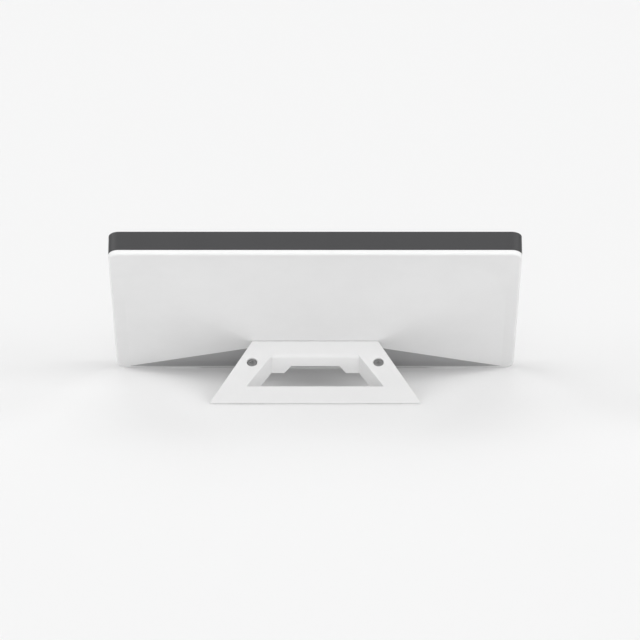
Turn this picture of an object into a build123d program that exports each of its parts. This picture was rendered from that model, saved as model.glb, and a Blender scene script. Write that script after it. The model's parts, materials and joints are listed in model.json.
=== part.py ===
from build123d import *
import os
from math import cos, radians, sin, tan

# A point-of-sale touchscreen terminal: a wide display head that leans back on its
# bottom edge, and a ring-shaped stand hinged to the middle of its back.
# Row frame: X along the width, +Y to the back, +Z up, screen facing -Y and up.
# Head frame: x as above, v up along the screen from the bottom edge, and w out of
# the screen from the parting line between the dark front casing and the white shell.
# Stand frame: x, reach back along the top of the stand from its front edge, and drop
# below that top.

# ---------------------------------------------------------------- overall sizes
head_width = 342.0
head_height = 211.4
corner_radius = 9.0
front_depth = 17.1
front_chamfer = 0.4
rim_depth = 4.0
rim_fillet = 2.5
lean = 50.0
ground_gap = 0.8
wall = 2.2
fit_gap = 0.15

# rear bulge, as depths behind the flat back of the rim
hinge_level = 84.0
neck_depth = 15.8
neck_half_width = 56.0
neck_bottom = 70.4
neck_top = hinge_level + 0.7
bulge_side_margin = 11.0
bulge_bottom = 4.8
bulge_top_margin = 5.4
bulge_flare = 1.6
bulge_levels = 7
bulge_half_width = head_width / 2 - bulge_side_margin
bulge_top = head_height - bulge_top_margin

# glass, touch sensor and panel
glass_thickness = 1.8
glass_border = 1.4
sensor_thickness = 0.4
gasket_thickness = 0.3
shelf_thickness = 1.8
panel_side_margin = 13.1
panel_top_margin = 11.4
panel_bottom = 16.0
panel_width = head_width - 2 * panel_side_margin
panel_height = head_height - panel_bottom - panel_top_margin
cell_inset = 1.0
cell_thickness = 1.1
backlight_thickness = 3.1

# chassis and boards
chassis_thickness = 1.2
chassis_margin = 5.0
boss_radius = 3.2
boss_side_margin = 8.8
boss_bottom_margin = 9.4
boss_top_margin = 6.6
screw_radius = 1.5
screw_slack = 0.05
board_hole = 1.25
io_hole = 1.0
standoff_radius = 2.6
standoff_height = 4.0
standoff_margin = 5.0
pcb_thickness = 1.6
board_width = 150.0
board_bottom = 102.0
board_top_margin = 21.4
board_height = head_height - board_bottom - board_top_margin
io_board_height = 30.0

# port panel in the middle of the underside
panel_half_width = 50.0
panel_low = 16.0
panel_high = hinge_level - 1.1
ledge_width = 5.0
ledge_thickness = 1.8
bay_half_width = 38.0
bay_low = 24.0
bay_high = 60.0
bay_ceiling = 0.5
port_width = 9.0
port_height = 3.3
port_length = 7.4
port_pitch = 15.0

# hinge
seam = 0.3
axis_below_edge = 3.0
axis_depth = 8.0
pin_radius = 2.5
eye_radius = 5.0
lug_centre = 38.1
lug_thickness = 3.0
washer_thickness = 1.0
washer_radius = 4.6
ear_thickness = 2.5
bracket_foot = 2.0
bracket_below_axis = 14.6
bracket_above_axis = 16.4
bracket_screw_margin = 5.0
running_gap = 0.03
slot_gap = 0.4

# stand
stand_slope = 36.3
stand_depth = 14.9
stand_edge = 0.7
stand_gap = 0.6
stand_top_half_width = 53.1
stand_spread = 0.645
opening_front = 13.2
opening_back = 40.2
opening_front_half_width = 37.1
opening_spread = 0.76
opening_fillet = 5.0
stand_wall = 2.5
stand_skin = 3.0
stand_relief = 27.0
notch_half_width = 26.0
notch_top_half_width = 20.4
notch_height = 6.0
stand_screw_reach = 23.3
stand_screw_offset = 53.3
screw_recess_radius = 4.55
screw_recess_depth = 1.8
cover_thickness = 2.0
leaf_thickness = 2.0

# rubber feet and pads
foot_start = 55.0
foot_length = 45.0
foot_back = 3.0
foot_front = 12.0
pad_offset = 58.0
pad_length = 34.0
pad_width = 6.0
pad_from_edge = 5.0

# speakers, antennas and power button
speaker_from_side = 36.0
speaker_width = 46.0
grille_slots = 12
grille_pitch = 3.4
antenna_from_side = 41.0
antenna_width = 40.0
button_below_top = 61.4
button_w = 7.6
button_length = 15.6
button_height = 4.0
button_travel = 0.8
button_flange = 1.0
button_notch = 12.0

# ---------------------------------------------------------------- frames
sin_t = sin(radians(lean))
cos_t = cos(radians(lean))
sin_s = sin(radians(stand_slope))
cos_s = cos(radians(stand_slope))

corner_rise = (rim_depth - rim_fillet) * sin_t - rim_fillet * cos_t + rim_fillet
head_z = ground_gap + corner_rise
back_reach = (head_height - rim_fillet) * sin_t + (rim_depth - rim_fillet) * cos_t + rim_fillet
front_reach = (front_depth - front_chamfer) * cos_t
head_y = -(back_reach - front_reach) / 2

HEAD = Plane(origin=(0, head_y, head_z), x_dir=(1, 0, 0), z_dir=(0, -cos_t, sin_t))
screen_axis = Axis(HEAD.origin, HEAD.z_dir)


def head_point(v, w):
    """Row-frame (y, z) of a point v up the screen and w out of it."""
    return head_y + v * sin_t - w * cos_t, head_z + v * cos_t + w * sin_t


neck_w = -rim_depth - neck_depth
edge_w = neck_w - seam
edge_y, edge_z = head_point(hinge_level, edge_w)
axis_v = hinge_level - axis_below_edge
axis_w = neck_w + axis_depth
STAND = Plane(origin=(0, edge_y, edge_z), x_dir=(1, 0, 0), z_dir=(0, sin_s, cos_s))


def stand_point(reach, drop):
    """Row-frame (y, z) of a point on the stand's side view."""
    return edge_y + reach * cos_s - drop * sin_s, edge_z - reach * sin_s - drop * cos_s


def edge_point(v, out):
    """Row-frame (y, z) of a point measured from the stand's front edge along the head."""
    return head_point(hinge_level + v, edge_w - out)


# ---------------------------------------------------------------- shared shapes
def outline(inset, w):
    """Rounded outline of the head, pulled in by inset, at the level w."""
    with BuildSketch(HEAD.offset(w)) as sketch:
        with Locations((0, head_height / 2)):
            radius = max(corner_radius - inset, 1.5)
            RectangleRounded(head_width - 2 * inset, head_height - 2 * inset, radius)
    return sketch.sketch


def block(x0, x1, v0, v1, w0):
    """Rectangle from x0 to x1 and from v0 to v1 at the level w0 of the head."""
    with BuildSketch(HEAD.offset(w0)) as sketch:
        with Locations(((x0 + x1) / 2, (v0 + v1) / 2)):
            Rectangle(abs(x1 - x0), abs(v1 - v0))
    return sketch.sketch


def discs(places, radius, w0):
    """One circle at each (x, v) place at the level w0 of the head."""
    with BuildSketch(HEAD.offset(w0)) as sketch:
        with Locations(*places):
            Circle(radius)
    return sketch.sketch


def side_profile(points, x0):
    """Closed outline of row-frame (y, z) points on the side plane at x0."""
    with BuildSketch(Plane.YZ.offset(x0)) as sketch:
        Polygon(*points)
    return sketch.sketch


def side_disc(centre, radius, x0):
    """Circle about a row-frame (y, z) centre on the side plane at x0."""
    with BuildSketch(Plane.YZ.offset(x0)) as sketch:
        with Locations(centre):
            Circle(radius)
    return sketch.sketch


def bulge_size(depth):
    """Half-width, bottom and top of the bulge at a depth behind the rim's flat back."""
    share = depth / neck_depth
    half_width = bulge_half_width - share * (bulge_half_width - neck_half_width)
    bottom = bulge_bottom + share * (neck_bottom - bulge_bottom)
    top = bulge_top - (bulge_top - neck_top) * share ** (1 / bulge_flare)
    return half_width, bottom, top


def underside_depth(v):
    """Depth of the flat underside facet behind the rim at v."""
    return neck_depth * (v - bulge_bottom) / (neck_bottom - bulge_bottom)


def bulge_form(inset):
    """Solid of the rear bulge, moved inset towards the screen."""
    with BuildPart() as form:
        for level in range(bulge_levels + 1):
            depth = neck_depth * (level / bulge_levels) ** 1.3
            half_width, bottom, top = bulge_size(depth)
            with BuildSketch(HEAD.offset(inset - rim_depth - depth)):
                with Locations((0, (bottom + top) / 2)):
                    Rectangle(2 * half_width, top - bottom)
        loft(ruled=True)
    return form.part


outer_bulge = bulge_form(0)
inner_bulge = bulge_form(wall)
ledge_bulge = bulge_form(wall + ledge_thickness)
deep = 40.0

os.makedirs("parts", exist_ok=True)


# ---------------------------------------------------------------- front casing
shelf_top = front_depth - glass_thickness - gasket_thickness
shelf_bottom = shelf_top - shelf_thickness
cell_front = front_depth - glass_thickness - sensor_thickness
backlight_front = cell_front - cell_thickness
chassis_front = backlight_front - backlight_thickness
chassis_back = chassis_front - chassis_thickness
glass_inset = glass_border + fit_gap
half_width = head_width / 2
inner_face = half_width - wall
button_v = head_height - button_below_top
speaker_x = half_width - speaker_from_side

boss_x = half_width - boss_side_margin
side_bosses = (24.0, 74.0, button_v - 26.0, button_v + 34.0)
boss_places = [(side * boss_x, v) for side in (-1, 1) for v in side_bosses]
for share in (-0.6, 0.0, 0.6):
    boss_places += [(share * boss_x, v) for v in (boss_bottom_margin, head_height - boss_top_margin)]

lip_top = 3.0
lip_thickness = 1.2
lip_outer = wall + fit_gap
lip_inner = lip_outer + lip_thickness
snap_height = 0.4
snap_length = 12.0
snap_places = [(share * half_width, side) for share in (-0.7, -0.35, 0.35, 0.7) for side in (0, 1)]

with BuildPart() as mid_frame:
    extrude(outline(0, 0), amount=front_depth)
    fillet(mid_frame.edges().group_by(screen_axis)[-1], front_chamfer)
    extrude(outline(glass_border, shelf_top), amount=deep, mode=Mode.SUBTRACT)
    extrude(outline(wall, 0), amount=shelf_bottom, mode=Mode.SUBTRACT)
    window = block(
        -panel_width / 2 - fit_gap,
        panel_width / 2 + fit_gap,
        panel_bottom - fit_gap,
        panel_bottom + panel_height + fit_gap,
        0,
    )
    extrude(window, amount=front_depth, mode=Mode.SUBTRACT)
    extrude(discs(boss_places, boss_radius, chassis_front), amount=shelf_bottom - chassis_front)
    extrude(discs(boss_places, screw_radius, 0), amount=shelf_bottom + 0.8, mode=Mode.SUBTRACT)
    groove_depth = snap_height + 0.1
    half_groove = snap_length / 2 + 0.5
    for x, side in snap_places:
        edge = wall - groove_depth if side == 0 else head_height - wall
        groove = block(x - half_groove, x + half_groove, edge, edge + groove_depth, 1.2)
        extrude(groove, amount=1.4, mode=Mode.SUBTRACT)
    for centre in (-speaker_x, speaker_x):
        for slot in range(grille_slots):
            x = centre + (slot - (grille_slots - 1) / 2) * grille_pitch
            extrude(block(x - 0.7, x + 0.7, -1, wall + 1, 4.2), amount=4.4, mode=Mode.SUBTRACT)
    half_slot = button_length / 2 + fit_gap
    extrude(
        block(
            inner_face - 1,
            half_width + 1,
            button_v - half_slot,
            button_v + half_slot,
            button_w - button_height / 2 - fit_gap,
        ),
        amount=button_height + 2 * fit_gap,
        mode=Mode.SUBTRACT,
    )
mid_frame.part.label = "mid_frame"
export_step(mid_frame.part, "parts/mid_frame.step")

with BuildPart() as cover_glass:
    extrude(outline(glass_inset, front_depth - glass_thickness), amount=glass_thickness)
    chamfer(cover_glass.edges().group_by(screen_axis)[-1], front_chamfer / 2)
cover_glass.part.label = "cover_glass"
export_step(cover_glass.part, "parts/cover_glass.step")

with BuildPart() as glass_gasket:
    extrude(outline(glass_inset + 0.4, shelf_top), amount=gasket_thickness)
    beside = panel_width / 2 + 1.5
    gasket_window = block(-beside, beside, panel_bottom - 1.5, panel_bottom + panel_height + 1.5,
                          shelf_top)
    extrude(gasket_window, amount=gasket_thickness, mode=Mode.SUBTRACT)
glass_gasket.part.label = "glass_gasket"
export_step(glass_gasket.part, "parts/glass_gasket.step")

panel_layers = {
    "touch_sensor": (cell_front, sensor_thickness, 0.0),
    "lcd_cell": (backlight_front, cell_thickness, cell_inset),
    "backlight_unit": (chassis_front, backlight_thickness, 0.0),
}
for label, (back, thickness, margin) in panel_layers.items():
    with BuildPart() as layer:
        sheet = block(-panel_width / 2 + margin, panel_width / 2 - margin,
                      panel_bottom + margin, panel_bottom + panel_height - margin, back)
        extrude(sheet, amount=thickness)
    layer.part.label = label
    export_step(layer.part, "parts/" + label + ".step")

# ---------------------------------------------------------------- rear shell
panel_boss_radius = 4.0
panel_boss_length = 4.6
panel_post_radius = 3.0
panel_screw_x = panel_half_width - 4.6
panel_screws = [(x, v) for x in (-panel_screw_x, panel_screw_x) for v in (bay_low + 1, bay_high - 6)]
arm_slot_low = hinge_level - 14.0
arm_slot_high = hinge_level - 2.3
arm_half_slot = lug_thickness / 2 + slot_gap
inner_ear = lug_centre - lug_thickness / 2 - washer_thickness - ear_thickness
outer_ear = lug_centre + lug_thickness / 2 + washer_thickness
pin_tail = 4.2
io_board_width = 2 * (inner_ear - pin_tail - 3.9)
hinge_clear = (inner_ear - 4.9, outer_ear + ear_thickness + 4.5)


def panel_region(margin, w):
    """Rectangle of the port panel, grown by margin, at the level w."""
    half = panel_half_width + margin
    return block(-half, half, panel_low - margin, panel_high + margin, w)


with BuildPart() as rear_shell:
    extrude(outline(0, -rim_depth), amount=rim_depth)
    fillet(rear_shell.edges().group_by(screen_axis)[0], rim_fillet)
    add(outer_bulge)
    extrude(outline(lip_inner, wall - rim_depth), amount=deep, mode=Mode.SUBTRACT)
    add(inner_bulge, mode=Mode.SUBTRACT)
    extrude(panel_region(0, -deep), amount=2 * deep, mode=Mode.SUBTRACT)
    extrude(outline(lip_outer, 0), amount=lip_top)
    extrude(outline(lip_inner, 0), amount=lip_top, mode=Mode.SUBTRACT)
    for x, side in snap_places:
        edge = lip_outer - snap_height if side == 0 else head_height - lip_outer
        snap = block(x - snap_length / 2, x + snap_length / 2, edge, edge + snap_height, 1.4)
        extrude(snap, amount=1.0)

with BuildPart() as ledge:
    extrude(panel_region(2.0, -deep), amount=2 * deep)
    extrude(panel_region(-ledge_width, -deep), amount=2 * deep, mode=Mode.SUBTRACT)
    add(inner_bulge, mode=Mode.INTERSECT)
    add(ledge_bulge, mode=Mode.SUBTRACT)
    for side in (-1, 1):
        near, far = hinge_clear
        clear = block(side * near, side * far, neck_bottom + 2, neck_top + 2, -deep)
        extrude(clear, amount=2 * deep, mode=Mode.SUBTRACT)
    holes = discs(panel_screws, panel_boss_radius + fit_gap, -deep)
    extrude(holes, amount=2 * deep, mode=Mode.SUBTRACT)

with BuildPart() as shell_with_ledge:
    add(rear_shell.part)
    add(ledge.part)
shell_with_ledge.part.label = "rear_shell"
export_step(shell_with_ledge.part, "parts/rear_shell.step")

# ---------------------------------------------------------------- port panel
bay_top_w = -rim_depth - bay_ceiling
tub_wall = 2.0
port_w = -12.0
io_boss_radius = 2.6
io_boss_places = [(side * (io_board_width / 2 - 5), bay_high + 10) for side in (-1, 1)]
port_places = [-port_pitch, 0.0, port_pitch]
io_back = port_w + port_height / 2
neck_inner = neck_w + wall

with BuildPart() as port_panel:
    add(outer_bulge)
    add(inner_bulge, mode=Mode.SUBTRACT)
    extrude(panel_region(-fit_gap, -deep), amount=2 * deep, mode=Mode.INTERSECT)

with BuildPart() as tub:
    outside = bay_half_width + tub_wall
    extrude(block(-outside, outside, bay_low - tub_wall, bay_high + tub_wall, -deep),
            amount=deep + bay_top_w + tub_wall)
    add(outer_bulge, mode=Mode.INTERSECT)

with BuildPart() as panel_bosses:
    for x, v in panel_screws:
        outer_w = -rim_depth - underside_depth(v)
        extrude(discs([(x, v)], panel_boss_radius, outer_w + 1), amount=panel_boss_length - 1)
    io_bosses = discs(io_boss_places, io_boss_radius, neck_inner - 0.5)
    extrude(io_bosses, amount=io_back - neck_inner + 0.5)

with BuildPart() as port_panel_whole:
    add(port_panel.part)
    add(tub.part)
    add(panel_bosses.part)
    extrude(block(-bay_half_width, bay_half_width, bay_low, bay_high, -deep),
            amount=deep + bay_top_w, mode=Mode.SUBTRACT)
    for side in (-1, 1):
        near = side * (lug_centre - arm_half_slot)
        far = side * (lug_centre + arm_half_slot)
        slot = block(near, far, arm_slot_low, arm_slot_high, neck_w - 1)
        extrude(slot, amount=wall + 2, mode=Mode.SUBTRACT)
    for x in port_places:
        mouth_half = port_width / 2 + 0.1
        mouth = block(x - mouth_half, x + mouth_half, bay_high - 1, bay_high + tub_wall + 1,
                      port_w - port_height / 2 - 0.1)
        extrude(mouth, amount=port_height + 0.2, mode=Mode.SUBTRACT)
    for x, v in panel_screws:
        outer_w = -rim_depth - underside_depth(v)
        extrude(discs([(x, v)], panel_post_radius, outer_w - 3), amount=5.2, mode=Mode.SUBTRACT)
        extrude(discs([(x, v)], screw_radius + 0.2, outer_w), amount=8, mode=Mode.SUBTRACT)
    extrude(discs(io_boss_places, io_hole, io_back - 4), amount=6, mode=Mode.SUBTRACT)
port_panel_whole.part.label = "port_panel"
export_step(port_panel_whole.part, "parts/port_panel.step")

# ---------------------------------------------------------------- chassis
board_top = board_bottom + board_height
board_middle = board_bottom + board_height / 2
standoff_x = board_width / 2 - standoff_margin
standoff_levels = (board_bottom + standoff_margin, board_top - standoff_margin)
standoff_places = [(x, v) for x in (-standoff_x, standoff_x) for v in standoff_levels]
bracket_low = axis_v - bracket_below_axis
bracket_high = axis_v + bracket_above_axis
bracket_levels = (bracket_low + bracket_screw_margin, bracket_high - bracket_screw_margin)
bracket_screws = [(side * lug_centre, v) for side in (-1, 1) for v in bracket_levels]
board_back = chassis_back - standoff_height - pcb_thickness

with BuildPart() as chassis_plate:
    extrude(outline(chassis_margin, chassis_back), amount=chassis_thickness)
    standoffs = discs(standoff_places, standoff_radius, chassis_back - standoff_height)
    extrude(standoffs, amount=standoff_height)
    for x, v in panel_screws:
        post_back = -rim_depth - underside_depth(v) + panel_boss_length
        extrude(discs([(x, v)], panel_post_radius, post_back), amount=chassis_back - post_back)
        extrude(discs([(x, v)], screw_radius, post_back), amount=8, mode=Mode.SUBTRACT)
    notch = block(half_width - 18, half_width, button_v - button_notch, button_v + button_notch,
                  chassis_back - 1)
    extrude(notch, amount=chassis_thickness + 2, mode=Mode.SUBTRACT)
    extrude(discs(boss_places, screw_radius + 0.2, chassis_back - 1), amount=4, mode=Mode.SUBTRACT)
    tapped = discs(standoff_places, board_hole, chassis_back - standoff_height)
    extrude(tapped, amount=standoff_height, mode=Mode.SUBTRACT)
    extrude(discs(bracket_screws, screw_radius, chassis_back - 1), amount=4, mode=Mode.SUBTRACT)
chassis_plate.part.label = "chassis_plate"
export_step(chassis_plate.part, "parts/chassis_plate.step")

# ---------------------------------------------------------------- boards
with BuildPart() as mainboard:
    extrude(block(-board_width / 2, board_width / 2, board_bottom, board_bottom + board_height,
                  board_back), amount=pcb_thickness)
    extrude(discs(standoff_places, board_hole + 0.25, board_back - 1), amount=4, mode=Mode.SUBTRACT)
mainboard.part.label = "mainboard"
export_step(mainboard.part, "parts/mainboard.step")

shield_v = board_middle + 4.0
shield_half = (22.0, 18.0)
shield_height = 2.4
fin_height = 2.5
sink_base = 1.5

with BuildPart() as soc_shield:
    can = block(-shield_half[0], shield_half[0], shield_v - shield_half[1],
                shield_v + shield_half[1], board_back - shield_height)
    extrude(can, amount=shield_height)
    chamfer(soc_shield.edges().group_by(screen_axis)[0], 0.4)
soc_shield.part.label = "soc_shield"
export_step(soc_shield.part, "parts/soc_shield.step")

with BuildPart() as heat_sink:
    half_x = shield_half[0] - 2
    low, high = shield_v - shield_half[1] + 2, shield_v + shield_half[1] - 2
    sink_back = board_back - shield_height - sink_base
    extrude(block(-half_x, half_x, low, high, sink_back), amount=sink_base)
    for fin in range(9):
        x = (fin - 4) * 4.6
        fins = block(x - 0.6, x + 0.6, low, high, sink_back - fin_height)
        extrude(fins, amount=fin_height + 0.5)
heat_sink.part.label = "heat_sink"
export_step(heat_sink.part, "parts/heat_sink.step")

# each chip: place across the board, place from the board's middle, width, height, thickness
chips = (
    (-36.0, 12.0, 14.0, 12.0, 1.1),
    (-36.0, -8.0, 14.0, 12.0, 1.1),
    (34.0, 12.0, 12.0, 12.0, 1.0),
    (34.0, -8.0, 9.0, 9.0, 0.9),
    (-56.0, 2.0, 6.0, 22.0, 2.6),
    (58.0, -4.0, 5.0, 16.0, 2.2),
)
with BuildPart() as board_chips:
    for x, rise, width, height, thickness in chips:
        v = board_middle + rise
        chip = block(x - width / 2, x + width / 2, v - height / 2, v + height / 2,
                     board_back - thickness)
        extrude(chip, amount=thickness)
board_chips.part.label = "board_chips"
export_step(board_chips.part, "parts/board_chips.step")

cell_thick = 3.2
with BuildPart() as rtc_cell:
    extrude(discs([(54, board_top - 12)], 10.0, board_back - cell_thick), amount=cell_thick)
    chamfer(rtc_cell.edges().group_by(screen_axis)[0], 0.5)
rtc_cell.part.label = "rtc_cell"
export_step(rtc_cell.part, "parts/rtc_cell.step")

with BuildPart() as io_board:
    board_low = bay_high + tub_wall + fit_gap
    extrude(block(-io_board_width / 2, io_board_width / 2, board_low, board_low + io_board_height,
                  io_back), amount=pcb_thickness)
    extrude(discs(io_boss_places, io_hole + 0.2, io_back - 1), amount=4, mode=Mode.SUBTRACT)
io_board.part.label = "io_board"
export_step(io_board.part, "parts/io_board.step")

for index, x in enumerate(port_places):
    with BuildPart() as usb_port:
        low = port_w - port_height / 2
        extrude(block(x - port_width / 2, x + port_width / 2, bay_high,
                      bay_high + port_length, low), amount=port_height)
        fillet(usb_port.edges().filter_by(Axis(HEAD.origin, HEAD.y_dir)), 1.2)
        cavity = block(x - port_width / 2 + 0.35, x + port_width / 2 - 0.35, bay_high - 1,
                       bay_high + port_length - 1.4, low + 0.35)
        extrude(cavity, amount=port_height - 0.7, mode=Mode.SUBTRACT)
        tongue = block(x - 3.3, x + 3.3, bay_high + 0.9, bay_high + port_length, port_w - 0.35)
        extrude(tongue, amount=0.7)
    usb_port.part.label = "usb_port_" + str(index + 1)
    export_step(usb_port.part, "parts/usb_port_" + str(index + 1) + ".step")

# ---------------------------------------------------------------- speakers and antennas
for side, label in ((1, "left"), (-1, "right")):
    with BuildPart() as speaker:
        x0 = side * speaker_x - speaker_width / 2
        x1 = x0 + speaker_width
        box_back = wall - rim_depth + 0.6
        extrude(block(x0, x1, lip_inner + 0.4, 20, box_back), amount=chassis_back - box_back)
        fillet(speaker.edges().filter_by(screen_axis), 2.0)
        mouth = block(x0 + 3, x1 - 3, lip_inner, lip_inner + 1.4, 3.6)
        extrude(mouth, amount=4.6, mode=Mode.SUBTRACT)
    speaker.part.label = "speaker_" + label
    export_step(speaker.part, "parts/speaker_" + label + ".step")
    with BuildPart() as antenna:
        x0 = side * (half_width - antenna_from_side) - antenna_width / 2
        top = head_height - wall
        extrude(block(x0, x0 + antenna_width, top - 0.8, top, lip_top + 0.6), amount=4.6)
    antenna.part.label = "antenna_" + label
    export_step(antenna.part, "parts/antenna_" + label + ".step")

# ---------------------------------------------------------------- power button
board_floor = button_w - 2.6
with BuildPart() as power_button:
    extrude(block(inner_face - button_flange, half_width, button_v - button_length / 2,
                  button_v + button_length / 2, button_w - button_height / 2),
            amount=button_height)
    fillet(power_button.edges().filter_by(Axis.X), 1.0)
    extrude(block(inner_face - button_flange, inner_face, button_v - button_length / 2 - 1,
                  button_v + button_length / 2 + 1, button_w - button_height / 2 - 0.9),
            amount=button_height + 1.8)
power_button.part.label = "power_button"
export_step(power_button.part, "parts/power_button.step")

switch_length = 4.0
switch_face = inner_face - button_flange
switch_x = switch_face - switch_length - 2.8
bore_floor = switch_x + 0.3
with BuildPart() as switch_plunger:
    plunger_end = bore_floor + button_travel + 0.1
    with BuildSketch(Plane.YZ.offset(plunger_end)):
        with Locations(head_point(button_v, button_w)):
            Circle(1.0)
    extrude(amount=switch_face - plunger_end)
switch_plunger.part.label = "switch_plunger"
export_step(switch_plunger.part, "parts/switch_plunger.step")

with BuildPart() as tact_switch:
    extrude(block(switch_x, switch_x + switch_length, button_v - 3, button_v + 3, board_floor + 1),
            amount=2 * (button_w - board_floor - 1))
    bore = side_disc(head_point(button_v, button_w), 1.2, bore_floor)
    extrude(bore, amount=switch_length, mode=Mode.SUBTRACT)
tact_switch.part.label = "tact_switch"
export_step(tact_switch.part, "parts/tact_switch.step")

with BuildPart() as button_board:
    extrude(block(switch_x - 18, switch_x + switch_length, button_v - 9, button_v + 9, board_floor),
            amount=1.0)
button_board.part.label = "button_board"
export_step(button_board.part, "parts/button_board.step")

button_spacers = [(switch_x - 14, button_v - 5), (switch_x - 14, button_v + 5)]
with BuildPart() as board_spacers:
    extrude(discs(button_spacers, 2.4, board_floor + 1), amount=chassis_back - board_floor - 1)
board_spacers.part.label = "button_spacers"
export_step(board_spacers.part, "parts/button_spacers.step")

# ---------------------------------------------------------------- hinge, head side
axis_centre = head_point(axis_v, axis_w)
ear_spread = 11.0


def mirrored(side, x0, length):
    """Start and signed length of a stretch along X on the given side."""
    return side * x0, side * length


for side, label in ((1, "left"), (-1, "right")):
    with BuildPart() as hinge_bracket:
        foot_x0 = side * (inner_ear - 2)
        foot_x1 = side * (outer_ear + ear_thickness + 2)
        foot = block(foot_x0, foot_x1, bracket_low, bracket_high, chassis_back - bracket_foot)
        extrude(foot, amount=bracket_foot)
        for ear in (inner_ear, outer_ear):
            start, length = mirrored(side, ear, ear_thickness)
            ear_outline = [
                head_point(axis_v - eye_radius, axis_w),
                head_point(axis_v + eye_radius, axis_w),
                head_point(axis_v + ear_spread, chassis_back - bracket_foot),
                head_point(axis_v - ear_spread, chassis_back - bracket_foot),
            ]
            extrude(side_profile(ear_outline, start), amount=length)
            extrude(side_disc(axis_centre, eye_radius, start), amount=length)
            extrude(side_disc(axis_centre, pin_radius, start), amount=length, mode=Mode.SUBTRACT)
        holes = [place for place in bracket_screws if place[0] * side > 0]
        extrude(discs(holes, screw_radius + 0.2, chassis_back - 3), amount=4, mode=Mode.SUBTRACT)
    hinge_bracket.part.label = "hinge_bracket_" + label
    export_step(hinge_bracket.part, "parts/hinge_bracket_" + label + ".step")

    with BuildPart() as hinge_pin:
        pin_start = inner_ear - pin_tail
        head_start = outer_ear + ear_thickness
        start, length = mirrored(side, pin_start, head_start - pin_start)
        extrude(side_disc(axis_centre, pin_radius, start), amount=length)
        start, length = mirrored(side, head_start, 1.8)
        extrude(side_disc(axis_centre, washer_radius - 0.4, start), amount=length)
    hinge_pin.part.label = "hinge_pin_" + label
    export_step(hinge_pin.part, "parts/hinge_pin_" + label + ".step")

    with BuildPart() as friction_washers:
        for place in (inner_ear + ear_thickness, outer_ear - washer_thickness):
            start, length = mirrored(side, place, washer_thickness)
            extrude(side_disc(axis_centre, washer_radius, start), amount=length)
            extrude(side_disc(axis_centre, pin_radius, start), amount=length, mode=Mode.SUBTRACT)
    friction_washers.part.label = "friction_washers_" + label
    export_step(friction_washers.part, "parts/friction_washers_" + label + ".step")

    with BuildPart() as hinge_nut:
        start, length = mirrored(side, inner_ear - 3.4, 3.4)
        with BuildSketch(Plane.YZ.offset(start)):
            with Locations(axis_centre):
                RegularPolygon(4.3, 6)
        extrude(amount=length)
        extrude(side_disc(axis_centre, pin_radius, start), amount=length, mode=Mode.SUBTRACT)
    hinge_nut.part.label = "hinge_nut_" + label
    export_step(hinge_nut.part, "parts/hinge_nut_" + label + ".step")

# ---------------------------------------------------------------- stand
stand_rise = edge_z - stand_gap - stand_edge
back_y = edge_y + stand_rise / tan(radians(stand_slope))
tan_s = tan(radians(stand_slope))


def top_z(y):
    """Height of the stand's sloping top at y."""
    return edge_z - (y - edge_y) * tan_s


def low_z(y):
    """Height of the stand's underside at y, before the floor trims it."""
    return top_z(y) - stand_depth


stand_screw_places = [(side * stand_screw_offset, stand_screw_reach) for side in (-1, 1)]
shank_radius = 2.0
relief_y = sin(radians(lean - stand_relief))
relief_z = cos(radians(lean - stand_relief))
face_length = stand_depth / (relief_z + relief_y * tan_s)
front_low = (edge_y - face_length * relief_y, edge_z - face_length * relief_z)
meet_y = edge_y + (edge_z - stand_depth - stand_gap) / tan_s
far_back = back_y + 30


def stand_plan(inset, clearance):
    """Plan of the ring, its walls pulled in by inset and then by a clearance."""
    side_cut = (inset + clearance) * (1 + stand_spread ** 2) ** 0.5
    hole_cut = (inset + clearance) * (1 + opening_spread ** 2) ** 0.5
    front_y = edge_y - 12
    near = stand_top_half_width + stand_spread * (front_y - edge_y) - side_cut
    far = stand_top_half_width + stand_spread * (far_back - edge_y) - side_cut
    hole_y0 = edge_y + opening_front - inset - clearance
    hole_y1 = edge_y + opening_back + inset + clearance
    hole_near = opening_front_half_width + hole_cut - opening_spread * (inset + clearance)
    hole_far = hole_near + opening_spread * (hole_y1 - hole_y0)
    with BuildSketch(Plane.XY) as sketch:
        Polygon((-near, front_y), (near, front_y), (far, far_back), (-far, far_back))
        Polygon((-hole_near, hole_y0), (hole_near, hole_y0), (hole_far, hole_y1),
                (-hole_far, hole_y1), mode=Mode.SUBTRACT)
    return sketch.sketch


def notch_outline(grow):
    """Cable notch across the front member, seen from the back, grown by grow."""
    low = low_z(edge_y + opening_front) - 20
    high = low_z(edge_y + opening_front) + notch_height + grow
    spread = (notch_half_width - notch_top_half_width) / notch_height
    half_high = notch_top_half_width + grow - spread * grow
    half_low = half_high + spread * (high - low_z(edge_y + opening_front))
    with BuildSketch(Plane.XZ.offset(-(edge_y + opening_front + 4))) as sketch:
        Polygon((-half_high, high), (half_high, high), (half_low, low + 20),
                (half_low, low), (-half_low, low), (-half_low, low + 20))
    return sketch.sketch


cavity_low = (front_low[0] + stand_wall / relief_z - 2 * relief_y, front_low[1] - 2 * relief_z)
cavity_back_reach = (edge_z - stand_gap + 1.0 - stand_skin / cos_s) / sin_s
cavity_profile = [
    stand_point(stand_wall + 0.6, stand_skin),
    stand_point(cavity_back_reach + stand_skin * tan_s, stand_skin),
    (far_back, -5.0),
    (cavity_low[0], -5.0),
    cavity_low,
]
centre_block = notch_half_width + 4.0
arm_channel = [
    stand_point(-6.0, stand_skin - 0.1),
    stand_point(5.0, stand_skin - 0.1),
    stand_point(5.0, 30.0),
    stand_point(-20.0, 30.0),
]

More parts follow.
